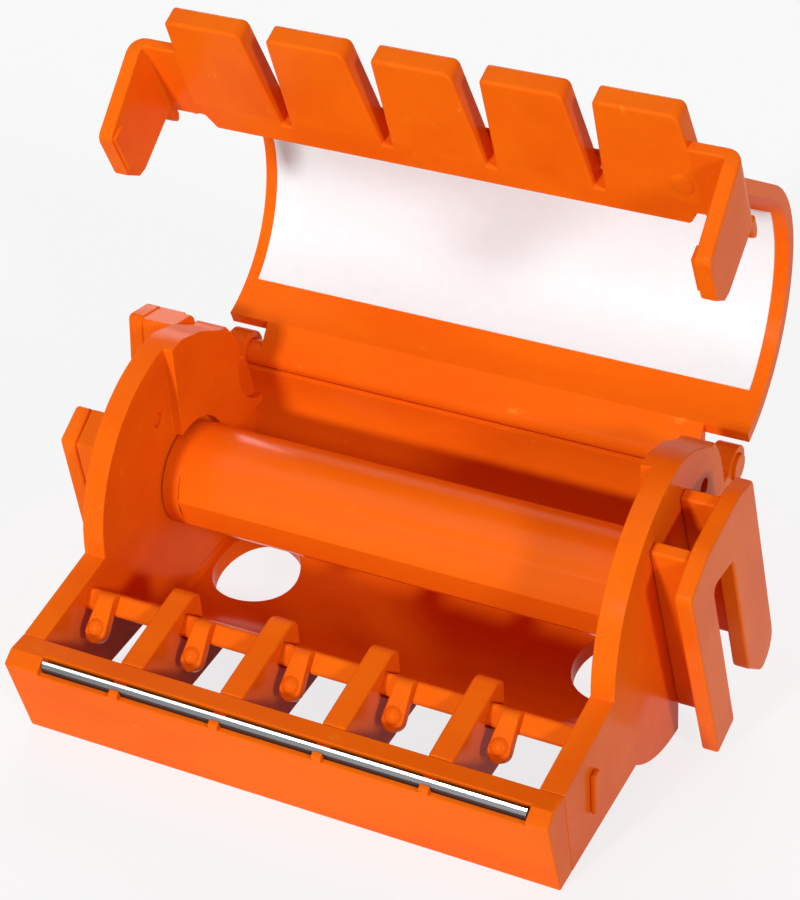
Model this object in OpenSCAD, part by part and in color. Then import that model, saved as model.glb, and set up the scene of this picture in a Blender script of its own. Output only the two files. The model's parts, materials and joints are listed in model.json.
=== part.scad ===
// Five-roll tape dispenser: a moulded bed with a spindle, a cutter bar and a hinged lid with press fingers
// Outlines are drawn in the moulding frame: Y points back and Z up from the spindle axis, X runs along it
// The finished dispenser is tipped so that its lip edge and the round ends of the bed stand on the table

/* [Roll bay] */
// Clear width between the end plates
bay_w = 48; // [44:0.5:56]
// Distance from one tape cell to the next
cell_pitch = 10; // [9:0.1:11]
// Outer radius of the round end plates and of the bed
end_r = 15; // [14.5:0.1:16]
// Thickness of an end plate
plate_t = 2.2; // [1.6:0.1:3]
// Thickness of the thicker pad inside each end plate
pad_t = 1; // [0.4:0.1:1.2]
// Wall thickness of the bed
bed_t = 2; // [1.5:0.1:2.5]
// How far the crest of the front ramp lies in front of the spindle axis
crest_reach = 17.8; // [17:0.1:18.5]
// How far the crest lies under the spindle axis
crest_drop = 0.9; // [0.5:0.1:1.5]
// Diameter of the two push-out holes in the bed floor
floor_hole_d = 8.8; // [6:0.1:9]
// Distance of each push-out hole from the middle
floor_hole_x = 19.2; // [16:0.1:19.2]
// Where the push-out holes sit round the bed, in degrees below the horizontal
floor_hole_at = 79; // [70:1:90]
// Where the back wall of the bed ends, in degrees above the horizontal
back_wall_at = 18; // [10:1:19]

/* [Spindle] */
// Diameter of the spindle
spindle_d = 10.1; // [8:0.1:12]
// Diameter of its end journals
journal_d = 5; // [4:0.1:6]
// Length of each journal inside its plate
journal_l = 1.5; // [1:0.1:1.7]
// Width of the round collar at each end of the flats
collar_l = 1.7; // [1:0.1:4]
// Depth of the two flats
flat_depth = 0.28; // [0.1:0.01:0.6]

/* [Cutter bar] */
// How far the bottom edge of the lip lies in front of the spindle axis
lip_reach = 26.7; // [26:0.1:28]
// How far the bottom edge of the lip lies under the spindle axis
lip_drop = 11; // [10:0.1:12]
// How far the front face leans out at its top
lip_lean = 2.2; // [1.5:0.1:3]
// Height of the front face
lip_h = 9; // [8:0.1:9.4]
// Depth of the sill, from the nose of the lip to its rear edge
sill_depth = 3.4; // [3:0.1:4]
// How far the sill lies under the spindle axis
sill_drop = 1.2; // [1:0.1:1.6]
// Taper of the bar's rear face from top to bottom
bar_taper = 1.3; // [0.5:0.1:2]
// Thickness of the wall in front of the blade
blade_wall = 0.6; // [0.5:0.05:0.8]
// Length of the blade
blade_l = 46.7; // [40:0.1:47]
// Thickness of the blade
blade_t = 0.5; // [0.3:0.05:0.6]
// Height of the blade
blade_h = 4; // [3:0.1:5]
// How far the edge of the blade stands above the nose of the lip
blade_proud = 0.45; // [0.2:0.05:0.8]
// How far the blade sits to the right of the middle
blade_shift = 0.7; // [0:0.1:1]
// Width of the groove behind the blade
blade_gap = 0.5; // [0.3:0.05:0.7]
// Width of the pips that back the blade
pip_w = 1.4; // [1:0.1:2]

/* [Cells] */
// Thickness of a divider between two cells
divider_t = 2.3; // [1.8:0.1:2.4]
// How far the bottom of the dividers lies under the spindle axis
divider_drop = 9; // [7:0.1:10]
// How far the rear end of the dividers lies in front of the spindle axis
divider_reach = 15.2; // [15:0.1:16]
// Width of a tape tongue
tongue_w = 2.1; // [1.8:0.1:2.6]
// Length of a tape tongue from its root
tongue_l = 3.9; // [3:0.1:4.6]
// Thickness of a tape tongue
tongue_t = 1.1; // [0.8:0.1:1.1]
// Slope of the tongues below the horizontal
tongue_slope = 50; // [40:1:60]
// Gap between a tongue and the divider beside it
tongue_gap = 0.9; // [0.15:0.05:1]
// How much a tongue narrows towards its root
tongue_taper = 0.4; // [0:0.1:0.5]
// Diameter of the nub on a tongue
nub_d = 1.4; // [0.8:0.1:1.6]

/* [Lid] */
// How far the hinge axis lies behind the spindle axis
hinge_back = 13.6; // [13.4:0.1:14]
// How far the hinge axis lies above the spindle axis
hinge_up = 5.2; // [5:0.1:5.6]
// Diameter of the hinge bead
bead_d = 2.5; // [2:0.1:2.6]
// Inner radius of the lid's curve
lid_r = 13.6; // [13.4:0.1:14.2]
// Thickness of the lid
lid_t = 1.3; // [1:0.1:1.4]
// How far the lid reaches past each end plate
lid_over = 0.6; // [0.4:0.1:1]
// How far the middle of the open lid's curve lies in front of the hinge axis
lid_mid_fore = 3.2; // [3:0.1:3.4]
// How far the middle of the open lid's curve lies above the hinge axis
lid_mid_up = 16.1; // [16:0.1:16.4]
// Where the lid's curve starts at the hinge, in degrees below the horizontal
lid_foot_at = 72; // [70:0.5:73]
// Inner radius of the tighter curve near the fingers
brow_r = 10.5; // [10:0.1:11]
// Where the tighter curve ends and the lid runs flat to the fingers, in degrees
brow_at = 57.6; // [56:0.2:60]
// How far the lid swings from the open pose to the closed one
lid_swing = 84; // [80:0.5:84]
// Width of the label inside the lid
label_w = 51; // [40:0.5:52]
// Thickness of the label
label_t = 0.15; // [0.1:0.05:0.3]
// Lower edge of the label round the lid's curve, in degrees
label_from = -54; // [-58:1:-40]
// Upper edge of the label round the tighter curve near the fingers, in degrees
label_to = 31; // [10:1:50]

/* [Press fingers] */
// How far the finger tips lie in front of the hinge axis in the open pose
tip_fore = 9.2; // [9:0.05:9.6]
// How far the finger tips lie above the hinge axis in the open pose
tip_up = 39.95; // [39.6:0.05:40.4]
// How far the fingers lean forward
finger_lean = 22.7; // [21.5:0.1:24]
// Width of a press finger at its tip
finger_w = 7.4; // [6:0.1:7.6]
// Width of a press finger at the foot of the slots
finger_base_w = 9; // [8:0.1:9.2]
// Thickness of a press finger
finger_t = 2.1; // [1.8:0.1:2.3]
// Depth of the slots between the fingers, from the tips
slot_depth = 11.75; // [11.4:0.05:12.2]
// Height of the fingers and their rail, from the tips to the lower edge
panel_h = 14.2; // [13.6:0.1:14.8]
// How far the roots of the fingers lie under the tips
root_depth = 10.2; // [9.8:0.1:10.4]
// Corner radius at the finger tips
tip_r = 0.9; // [0.3:0.1:1.5]

/* [Latch arms] */
// Thickness of the wings beside the fingers
wing_t = 1.1; // [0.8:0.1:1.6]
// Thickness of a latch arm
arm_t = 1.4; // [1.2:0.1:1.6]
// Gap between an end plate and the latch arm beside it
arm_gap = 1; // [0.9:0.1:1.3]
// How far the arms and their wings start under the finger tips
arm_top = 4; // [3.4:0.1:4.6]
// How far the arms reach in front of the fingers
arm_reach = 8.4; // [7.5:0.1:9]
// How far the front edge of an arm falls from the wing to its front corner
arm_fall = 2.8; // [2:0.1:3.4]
// How far the lowest point of the arms lies under the finger tips
arm_foot = 13.8; // [13.4:0.1:14.4]
// Height of the barb on the inside of an arm
barb_h = 0.3; // [0.2:0.05:0.4]
// Height of the catch on the outside of an end plate
catch_h = 0.5; // [0.3:0.05:0.5]
// Width of the catch
catch_w = 1.2; // [0.8:0.1:1.6]

/* [Coupling] */
// Gap between an end plate and the fork or bracket beside it
coupling_gap = 3.4; // [3:0.1:4]
// Thickness of the fork and of the bracket
coupling_t = 1.6; // [1.2:0.1:2]
// How far the prongs slant back
coupling_slant = 17; // [14:0.5:19]
// Width of the front prong and of the front lug
front_prong_w = 4.4; // [4:0.1:4.6]
// Width of the slot between the prongs
prong_slot_w = 4.2; // [3.8:0.1:4.4]
// Width of the rear prong
rear_prong_w = 6; // [5.5:0.1:6.2]
// Thickness of the webs that carry the fork and the bracket
web_t = 1.3; // [1:0.1:1.5]

/* [Hidden] */
$fn = 96;
cells = 5;
big = 60;
run_gap = 0.05;
side_gap = 0.1;
close_gap = 0.3;
end_play = 0.15;
orange = "#E8650F";
steel = "#C8CCD0";
paper = "#F4F4F6";

// Points in the moulding frame are [back, up]
function turn(p, a) = [p[0] * cos(a) - p[1] * sin(a), p[0] * sin(a) + p[1] * cos(a)];
function on_circle(c, r, a) = c + r * [cos(a), sin(a)];
function unit(v) = v / norm(v);
function arc_points(c, r, from, to, n = 12) = [for (i = [0 : n]) on_circle(c, r, from + (to - from) * i / n)];

// A corner of an outline at b, rounded between a and c
function corner(a, b, c, r, n = 5) =
    let (u = unit(a - b), v = unit(c - b), half = acos(u * v) / 2)
    let (centre = b + unit(u + v) * r / sin(half), start = b + u * r / tan(half) - centre)
    let (way = u[0] * v[1] - u[1] * v[0] < 0 ? 1 : -1)
    [for (i = [0 : n]) centre + turn(start, way * (180 - 2 * half) * i / n)];
function rounded(pts, radii) =
    let (n = len(pts))
    [for (i = [0 : n - 1]) each radii[i] > 0
        ? corner(pts[(i + n - 1) % n], pts[i], pts[(i + 1) % n], radii[i]) : [pts[i]]];

// Ends of the plates, the lid and the coupling along X
plate_in = bay_w / 2;
plate_out = plate_in + plate_t;
lid_half = plate_out + lid_over;
arm_in = plate_out + arm_gap;
arm_out = arm_in + arm_t;
coupling_in = plate_out + coupling_gap;
coupling_out = coupling_in + coupling_t;

// Front: the lip leans out from its bottom edge to its nose
lip_edge = [-lip_reach, -lip_drop];
lip_nose = lip_edge + [-lip_lean, lip_h];
front_lean = atan2(lip_lean, lip_h);
sill_reach = lip_reach + lip_lean - sill_depth;
sill_rear = [-sill_reach, -sill_drop];
bar_foot = [-sill_reach + bar_taper, -lip_drop];
function bar_rear_at(z) = [sill_rear[0] + bar_taper * (sill_rear[1] - z) / (lip_drop - sill_drop), z];
function front_face(depth, up) = lip_nose + turn([depth, up], front_lean);
kink = [-sqrt(end_r * end_r - 0.1), 0.3];

// The ramp leaves the inside of the bed as a tangent and ends in the crest
bed_in = end_r - bed_t;
crest = [-crest_reach, -crest_drop];
crest_angle = atan2(crest[1], crest[0]);
ramp_at = crest_angle + acos(bed_in / norm(crest));
ramp_up = [sin(ramp_at), -cos(ramp_at)];
ramp_out = [cos(ramp_at), sin(ramp_at)];
crest_under = crest + bed_t * ramp_out;
function ramp_under_at(z) = crest_under + ramp_up * (z - crest_under[1]) / ramp_up[1];
function ramp_over_at(y) = crest + ramp_up * (y - crest[0]) / ramp_up[0];

// Each tongue turns on a round root in front of the crest
tongue_root_r = 0.6;
tongue_root = crest + bed_t / 2 * ramp_out + 0.35 * ramp_up;
tongue_flex = 10;

// Lid: the hinge axis, the middle of its curve when open and when closed, and the finger tips
hinge = [hinge_back, hinge_up];
lid_mid = hinge + [-lid_mid_fore, lid_mid_up];
lid_mid_shut = hinge + turn(lid_mid - hinge, lid_swing);
finger_tip = hinge + [-tip_fore, tip_up];
bead_r = bead_d / 2;
boss_r = bead_r + 0.75;
root_r = finger_t / 2;
wing_foot = 12.7;
// The closed rail ends above the end plates, so it is lower there
rail_end_h = wing_foot - 0.1;
brow_mid = lid_mid + [lid_r - brow_r, 0];
function finger_half(s) = (finger_w + (finger_base_w - finger_w) * s / slot_depth) / 2;

// The part is tipped about X until the lip edge is as low as the round ends, and its box is centred on Y
tip_angle = asin(end_r / norm(lip_edge)) - atan2(lip_drop, lip_reach);
front_y = turn(lip_nose, tip_angle)[0];
back_y = turn(lid_mid, tip_angle)[0] + lid_r + lid_t;
centre_y = -(front_y + back_y) / 2;

module stand() translate([0, centre_y, end_r]) rotate([tip_angle, 0, 0]) children();
module across(x0, x1) translate([x0, 0, 0]) rotate([90, 0, 90]) linear_extrude(x1 - x0) children();
module rod(at, r, x0, x1) translate([x0, at[0], at[1]]) rotate([0, 90, 0]) cylinder(r = r, h = x1 - x0);
module ring(c, r_in, r_out) translate(c) difference() {
    circle(r_out);
    circle(r_in);
}
module wedge(c, from, to, n = 8) polygon([c, for (i = [0 : n]) on_circle(c, big, from + (to - from) * i / n)]);
module on_panel() translate([0, finger_tip[0], finger_tip[1]]) rotate([finger_lean, 0, 0]) children();
module on_coupling() rotate([coupling_slant, 0, 0]) children();

// Outline of the bed: a round trough, its front ramp and its back wall
module bed_outline() {
    intersection() {
        ring([0, 0], bed_in, end_r);
        wedge([0, 0], ramp_at - 0.3, back_wall_at);
    }
    polygon([each corner(bed_in * ramp_out, crest, crest_under, 0.4),
             each corner(crest, crest_under, end_r * ramp_out, 0.4), end_r * ramp_out, bed_in * ramp_out]);
}

module roll_bed() color(orange) stand() difference() {
    across(-plate_in, plate_in) bed_outline();
    for (side = [-1, 1])
        translate([side * floor_hole_x, 0, 0]) rotate([90 - floor_hole_at, 0, 0]) translate([0, 0, -end_r - 1])
            cylinder(d = floor_hole_d, h = bed_t + 3);
    rod(hinge, bead_r + run_gap, -plate_in, plate_in);
    for (i = [1 : cells]) {
        from = tongue_mid(i) - tongue_w / 2 + tongue_taper / 2 - side_gap;
        to = tongue_mid(i) + tongue_w / 2 + side_gap;
        rod(tongue_root, tongue_root_r + run_gap, from, to);
        across(from, to) tongue_room();
    }
}

// Room in the crest for a tongue that is bent down
module tongue_room() {
    down = turn([-1, 0], tongue_slope + tongue_flex);
    under = turn(down, 90) * (tongue_t / 2 + 0.2);
    polygon([tongue_root, tongue_root + under, tongue_root + under + 2 * bed_t * down,
             tongue_root + 2 * bed_t * ramp_out]);
}

// Outline of an end plate: the round end, the front arm, and an ear that the closed lid passes over
module plate_outline() {
    ear_foot = hinge_up + 0.5;
    heel = [-0.2, -11.7];
    difference() {
        union() {
            circle(end_r);
            polygon([sill_rear, bar_foot, [-bed_in / 2, -lip_drop], [-bed_in / 2, kink[1]], kink]);
        }
        difference() {
            translate([0, ear_foot]) square(big);
            translate(lid_mid_shut) circle(lid_r - close_gap);
        }
        polygon([[0.3, end_r], [3.4, end_r - 1], [7.2, end_r - 3.2], [end_r, end_r - 3.2], [end_r, end_r + 1],
                 [0.3, end_r + 1]]);
        translate([heel[0], heel[1] - big]) square(big);
    }
    translate(hinge) circle(boss_r);
}

// Behind and above the spindle each plate is thicker on the inside, clear of the bed and of the lid's foot
module pad_outline() {
    pad_front = -1.6;
    difference() {
        intersection() {
            plate_outline();
            translate([pad_front, -big]) square(2 * big);
        }
        difference() {
            wedge([0, 0], -180, back_wall_at + 6, 24);
            circle(bed_in);
        }
        translate(hinge) circle(4.5);
        translate([-big, -2 * big]) square(2 * big);
        circle(spindle_d / 2 + 0.5);
    }
}

module end_plate(side) color(orange) stand() mirror([side < 0 ? 1 : 0, 0, 0]) difference() {
    union() {
        across(plate_in, plate_out) plate_outline();
        across(plate_in - pad_t, plate_in) pad_outline();
    }
    rod([0, 0], journal_d / 2 + run_gap, plate_in - 1, plate_in + journal_l + 0.15);
    rod(hinge, bead_r + run_gap, plate_in - 1, plate_out + 1);
    if (side > 0) rod([5.3, 8.6], 0.9, plate_out - 1.2, plate_out + 1);
    if (side < 0) rod([-3.8, 8.3], 0.7, plate_in - 1, plate_in + 0.5);
}

module left_end_plate() end_plate(-1);
module right_end_plate() end_plate(1);

// The blade lies in a groove behind the front wall, and small pips back it at the dividers
blade_from = blade_shift - blade_l / 2;
blade_to = blade_shift + blade_l / 2;
blade_foot = blade_proud - blade_h;
groove_w = blade_t + blade_gap;
grind = 0.8 * blade_t;

module cutter_bar() color(orange) stand() {
    difference() {
        across(-plate_out, plate_out)
            polygon([lip_edge, lip_nose, lip_nose + [1.3, lip_drop - sill_drop - lip_h], sill_rear, bar_foot]);
        across(blade_from - side_gap, blade_to + side_gap) {
            polygon([front_face(blade_wall, blade_foot), front_face(blade_wall + groove_w, blade_foot),
                     front_face(blade_wall + groove_w, big), front_face(blade_wall, big)]);
            polygon([front_face(-1, -0.5), front_face(blade_wall + 0.1, -0.5),
                     front_face(blade_wall + 0.1, big), front_face(-1, big)]);
        }
    }
    for (i = [1 : cells - 1])
        across(divider_x(i) - pip_w / 2, divider_x(i) + pip_w / 2)
            polygon([front_face(blade_wall + blade_t, blade_foot),
                     front_face(blade_wall + groove_w, blade_foot),
                     front_face(blade_wall + groove_w, 0), front_face(blade_wall + blade_t, 0)]);
}

module cutter_blade() color(steel) stand() across(blade_from, blade_to)
    polygon([front_face(blade_wall, blade_foot), front_face(blade_wall + blade_t, blade_foot),
             front_face(blade_wall + blade_t, blade_proud), front_face(blade_wall, blade_proud - grind)]);

// Dividers run from the bar to the ramp and end in a round nose on the ramp
function divider_x(i) = (i - cells / 2) * cell_pitch;
module divider(i) color(orange) stand() {
    top_slope = (kink[1] - sill_rear[1]) / (kink[0] - sill_rear[0]);
    rear_top = [-divider_reach, sill_rear[1] + top_slope * (sill_reach - divider_reach)];
    across(divider_x(i) - divider_t / 2, divider_x(i) + divider_t / 2)
        polygon([sill_rear, bar_rear_at(-divider_drop), ramp_under_at(-divider_drop), crest_under, crest,
                 ramp_over_at(-divider_reach),
                 each corner(ramp_over_at(-divider_reach), rear_top, sill_rear, 1.2)]);
}

// A tongue is a leaf with a round tip and a nub, beside the left wall of its cell: a divider or the end plate
function cell_x(i) = (i - (cells + 1) / 2) * cell_pitch;
function cell_wall(i) = max(cell_x(i) - cell_pitch / 2 + divider_t / 2, -plate_in);
function tongue_mid(i) = cell_wall(i) + tongue_gap + tongue_w / 2;
module tape_tongue(i) color(orange) stand()
    translate([tongue_mid(i), tongue_root[0], tongue_root[1]]) {
        rod([0, 0], tongue_root_r, tongue_taper - tongue_w / 2, tongue_w / 2);
        rotate([180 + tongue_slope, 0, 0]) {
            translate([0, 0, -tongue_t / 2]) linear_extrude(tongue_t) {
                polygon([[tongue_taper - tongue_w / 2, 0], [tongue_w / 2, 0],
                         [tongue_w / 2, tongue_l - tongue_w / 2], [-tongue_w / 2, tongue_l - tongue_w / 2]]);
                translate([0, tongue_l - tongue_w / 2]) circle(d = tongue_w);
            }
            translate([0, tongue_l * 0.63, -tongue_t / 2 + 0.2]) sphere(d = nub_d, $fn = 32);
        }
    }

// The spindle has two flats between round collars, and a journal in each plate
module roll_spindle() color(orange) stand() {
    half = plate_in - end_play;
    spindle_r = spindle_d / 2;
    across(-half + collar_l, half - collar_l) difference() {
        circle(spindle_r);
        for (facing = [161, 195])
            rotate(facing) translate([spindle_r - flat_depth, -spindle_r]) square([spindle_r, spindle_d]);
    }
    for (side = [0, 1]) mirror([side, 0, 0]) {
        rod([0, 0], spindle_r, half - collar_l, half);
        rod([0, 0], journal_d / 2, half, plate_in + journal_l);
    }
}

// Catches are short upright ribs on the outside of the plates
module catch(side) color(orange) stand() mirror([side < 0 ? 1 : 0, 0, 0])
    across(plate_out, plate_out + catch_h) translate([5.1 - sill_reach, 3.2 - lip_drop])
        square([catch_w, 4.4]);
module left_catch() catch(-1);
module right_catch() catch(1);

// Fork and bracket let dispensers hang side by side: prongs point down on the right, lugs up on the left
prong_front = -7.4;
slot_front = prong_front + front_prong_w;
slot_back = slot_front + prong_slot_w;
prong_back = slot_back + rear_prong_w;
fork_top = 12.9;
front_prong_foot = -12.6;
rear_prong_foot = -14.6;
slot_top = 7.6;
front_web_y = slot_front - web_t + 0.3;
rear_web_y = slot_back + 1.6;

module coupling_fork() color(orange) stand() on_coupling() across(coupling_in, coupling_out)
    polygon(rounded([[prong_front, fork_top - 0.9], [prong_front + 0.3, front_prong_foot + 0.4],
                     [slot_front, front_prong_foot], [slot_front, slot_top + 0.4], [slot_back, slot_top - 1.4],
                     [slot_back, rear_prong_foot + 4], [slot_back + 2.6, rear_prong_foot],
                     [prong_back, rear_prong_foot], [prong_back, fork_top - 2.6], [slot_back + 3, fork_top - 1],
                     [slot_front, fork_top + 0.1]],
                    [0.8, 0.3, 0.3, 0.6, 0.6, 1.5, 1.2, 2.6, 1, 6, 6]));

module fork_web(y, foot, top) color(orange) stand() on_coupling()
    across(plate_out, coupling_in) translate([y, foot]) square([web_t, top - foot]);
module fork_front_web() fork_web(front_web_y, -11, fork_top - 0.4);
module fork_rear_web() fork_web(rear_web_y, -8, fork_top - 1.6);

lug_top = 11.2;
front_lug = [slot_front + 0.1 - front_prong_w + 0.5, lug_top - 0.8];
rear_lug_y = 7.6;
rear_lug_w = 3.1;
rear_lug = [rear_lug_y, lug_top + 0.8];
module coupling_bracket() color(orange) stand() on_coupling() across(-coupling_out, -coupling_in)
    polygon(rounded([front_lug, front_lug + [-1.95, -11], [prong_front + 2, -7], [rear_lug_y + 1, -7],
                     [rear_lug_y + rear_lug_w, -2], [rear_lug_y + rear_lug_w, lug_top - 0.9], rear_lug,
                     rear_lug + [-2, -4.3], rear_lug + [-2.5, -9.5], [slot_front + 0.6, lug_top - 8.7],
                     [slot_front + 0.1, lug_top]],
                    [0.5, 1, 2.5, 2.5, 1, 0.8, 0.5, 0, 1.5, 1.5, 0.5]));

// The bracket's webs are flush with its lugs, and cut back where the end of the closed lid comes to rest
module bracket_web(outline) color(orange) stand() difference() {
    on_coupling() across(-coupling_in, -plate_out) polygon(outline);
    across(-lid_half - 0.2, -plate_out) difference() {
        translate(lid_mid_shut) circle(big);
        translate(lid_mid_shut) circle(lid_r - close_gap);
    }
}
module bracket_front_web() bracket_web([front_lug + [0.05, -0.1], front_lug + [-1.2, -7.2],
    front_lug + [-1.2 + web_t, -7.2], front_lug + [web_t, -2.4], [slot_front, lug_top - 1.6],
    [slot_front, lug_top - 0.1]]);
module bracket_rear_web() bracket_web([rear_lug + [0, -0.1], rear_lug + [-1.95, -4.3], rear_lug + [-2.3, -8],
    rear_lug + [-2.3 + web_t, -8], rear_lug + [0.6, -4], [rear_lug_y + rear_lug_w - 0.1, lug_top - 2.6],
    [rear_lug_y + rear_lug_w - 0.1, lug_top - 1]]);

// Outline of the lid: a round back, a tighter brow and a flat that runs to the finger rail
module lid_outline() {
    brow_in = on_circle(brow_mid, brow_r, brow_at);
    brow_out = on_circle(brow_mid, brow_r + lid_t, brow_at);
    along = [-sin(brow_at), cos(brow_at)];
    inset = lid_t / 4;
    intersection() {
        ring(lid_mid, lid_r, lid_r + lid_t);
        wedge(lid_mid, -lid_foot_at, 0);
    }
    intersection() {
        ring(brow_mid, brow_r, brow_r + lid_t);
        wedge(brow_mid, 0, brow_at);
    }
    polygon([brow_in, brow_out, brow_out + 14 * along, brow_in + 14 * along]);
    translate(lid_mid + [lid_r + inset, -inset]) square([lid_t - 2 * inset, 2 * inset]);
    join_in = on_circle(brow_in, inset, brow_at);
    join_out = on_circle(brow_out, -inset, brow_at);
    polygon([join_in - 0.6 * inset * along, join_out - 0.6 * inset * along, join_out + inset * along,
             join_in + inset * along]);
}

// The lid turns on a bead along its foot, and its front edge is let back behind the fingers
module lid_shell() color(orange) stand() {
    foot_half = plate_in - pad_t - 0.4;
    foot_in = on_circle(lid_mid, lid_r, -lid_foot_at);
    foot_out = on_circle(lid_mid, lid_r + lid_t, -lid_foot_at);
    difference() {
        across(-lid_half, lid_half) lid_outline();
        on_panel() translate([-big, finger_t - big, -big / 2]) cube([2 * big, big, big]);
        on_panel() translate([-big, 0, -root_depth - run_gap]) cube([2 * big, finger_t + 0.2, big]);
    }
    across(-foot_half, foot_half)
        polygon([foot_in, foot_out, hinge + [bead_r, 0], hinge, on_circle(hinge, bead_r, 140)]);
    rod(hinge, bead_r, -lid_half + 0.3, lid_half - 0.3);
}

// The rail joins the finger roots to the lid, and its wings carry the latch arms
module upright(t) translate([0, t, 0]) rotate([90, 0, 0]) linear_extrude(t) children();
module oval_pad(h) rotate([90, 0, 0]) linear_extrude(h) scale([1, 1.25]) circle(d = 2.2);
module finger_rail() color(orange) stand() on_panel() {
    last = cell_x(cells);
    rail_half = last + finger_base_w / 2;
    strip_half = plate_in - 0.3;
    wing_in = last + finger_half(root_depth) + side_gap;
    difference() {
        union() {
            upright(finger_t) {
                polygon([[-rail_half, -slot_depth], [rail_half, -slot_depth], [rail_half, -rail_end_h],
                         [strip_half, -rail_end_h], [strip_half - 0.8, -panel_h],
                         [-strip_half + 0.8, -panel_h], [-strip_half, -rail_end_h],
                         [-rail_half, -rail_end_h]]);
                for (i = [1 : cells])
                    translate([cell_x(i), 0])
                        polygon([[-finger_half(root_depth), -root_depth], [finger_half(root_depth), -root_depth],
                                 [finger_base_w / 2, -slot_depth], [finger_base_w / 2, -slot_depth - 0.5],
                                 [-finger_base_w / 2, -slot_depth - 0.5], [-finger_base_w / 2, -slot_depth]]);
            }
            for (side = [0, 1]) mirror([side, 0, 0]) {
                upright(wing_t)
                    polygon([[last + finger_half(arm_top) + side_gap, -arm_top], [arm_out, -arm_top],
                             [arm_out, -rail_end_h], [last, -rail_end_h], [last, -slot_depth - 0.3],
                             [wing_in, -slot_depth - 0.3], [wing_in, -root_depth]]);
                translate([arm_in - side_gap, -arm_t / 2, -wing_foot])
                    cube([arm_t + 2 * side_gap, wing_t + arm_t / 2, wing_foot - arm_top]);
                across(arm_in, arm_out)
                    polygon([[-0.3, -wing_foot + 0.5], [-0.3, -panel_h + 0.2], [0.4, -panel_h - 0.7],
                             [0.9, -panel_h], [0.9, -wing_foot + 0.5]]);
            }
        }
        for (i = [1 : cells])
            rod([root_r, -root_depth], root_r + run_gap, cell_x(i) - finger_half(root_depth) - side_gap,
                cell_x(i) + finger_half(root_depth) + side_gap);
        for (side = [-1, 1])
            translate([side * (arm_in + arm_t / 2), -arm_t / 2, -wing_foot - side_gap])
                cylinder(r = arm_t / 2 + run_gap, h = wing_foot + 1);
    }
}

// The label follows both curves of the lid, in one sheet
module lid_label() color(paper) stand() across(-label_w / 2, label_w / 2) {
    intersection() {
        ring(lid_mid, lid_r - label_t, lid_r);
        wedge(lid_mid, label_from, 0);
    }
    intersection() {
        ring(brow_mid, brow_r - label_t, brow_r);
        wedge(brow_mid, 0, label_to);
    }
    translate(lid_mid + [lid_r - 0.75 * label_t, -label_t / 4]) square(label_t / 2);
}

// Each finger is a tapered slab with a round root in the rail and rounded corners at its tip
module press_finger(i) color(orange) stand() on_panel() translate([cell_x(i), 0, 0]) {
    intersection() {
        across(-finger_base_w, finger_base_w) {
            translate([root_r, -root_depth]) circle(root_r);
            polygon(rounded([[0, -root_depth], [finger_t, -root_depth], [finger_t, 0], [0, 0]],
                            [0, 0, 0.5, 0.3]));
        }
        translate([0, -1, 0]) upright(finger_t + 2)
            polygon(rounded([[-finger_half(root_depth), -panel_h], [finger_half(root_depth), -panel_h],
                             [finger_half(root_depth), -root_depth], [finger_w / 2, 0],
                             [-finger_w / 2, 0], [-finger_half(root_depth), -root_depth]],
                            [0, 0, 0, tip_r, tip_r / 2, 0]));
    }
    if (i == cells) translate([finger_w / 2 - 0.8, 0.3, 1.4 - root_depth]) oval_pad(0.5);
}

// An arm has a round root in the wing, a pointed foot and a barb inside its front corner
module latch_arm(side) color(orange) stand() on_panel() mirror([side < 0 ? 1 : 0, 0, 0]) {
    arm_root = -arm_t / 2;
    corner_z = -arm_top - arm_fall;
    across(arm_in, arm_out)
        polygon(rounded([[arm_root, -arm_top], [-arm_reach, corner_z], [-arm_reach, -arm_foot + 1.9],
                         [-arm_reach + 1.3, -arm_foot + 0.2], [-arm_reach + 2.3, -arm_foot],
                         [arm_root, -wing_foot]], [0, 0.5, 0.3, 0.5, 0.7, 0]));
    across(arm_in - barb_h, arm_in)
        polygon([[-arm_reach + 1.6, corner_z], [-arm_reach + 0.2, corner_z - 0.1],
                 [-arm_reach + 0.2, -arm_foot + 2.6], [-arm_reach + 1, -arm_foot + 2.8]]);
    translate([arm_in + arm_t / 2, arm_root, -wing_foot]) cylinder(d = arm_t, h = wing_foot - arm_top);
}
module left_latch_arm() latch_arm(-1);
module right_latch_arm() latch_arm(1);

roll_bed();
left_end_plate();
right_end_plate();
cutter_bar();
cutter_blade();
divider(1);  // divider_1
divider(2);  // divider_2
divider(3);  // divider_3
divider(4);  // divider_4
left_catch();
right_catch();
coupling_fork();
fork_front_web();
fork_rear_web();
coupling_bracket();
bracket_front_web();
bracket_rear_web();
roll_spindle();
tape_tongue(1);  // tape_tongue_1
tape_tongue(2);  // tape_tongue_2
tape_tongue(3);  // tape_tongue_3
tape_tongue(4);  // tape_tongue_4
tape_tongue(5);  // tape_tongue_5
lid_shell();
finger_rail();
lid_label();
press_finger(1);  // press_finger_1
press_finger(2);  // press_finger_2
press_finger(3);  // press_finger_3
press_finger(4);  // press_finger_4
press_finger(5);  // press_finger_5
left_latch_arm();
right_latch_arm();
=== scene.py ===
import json
from math import cos, pi, sin, sqrt

import bmesh
import bpy
from mathutils import Matrix, Vector

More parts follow.
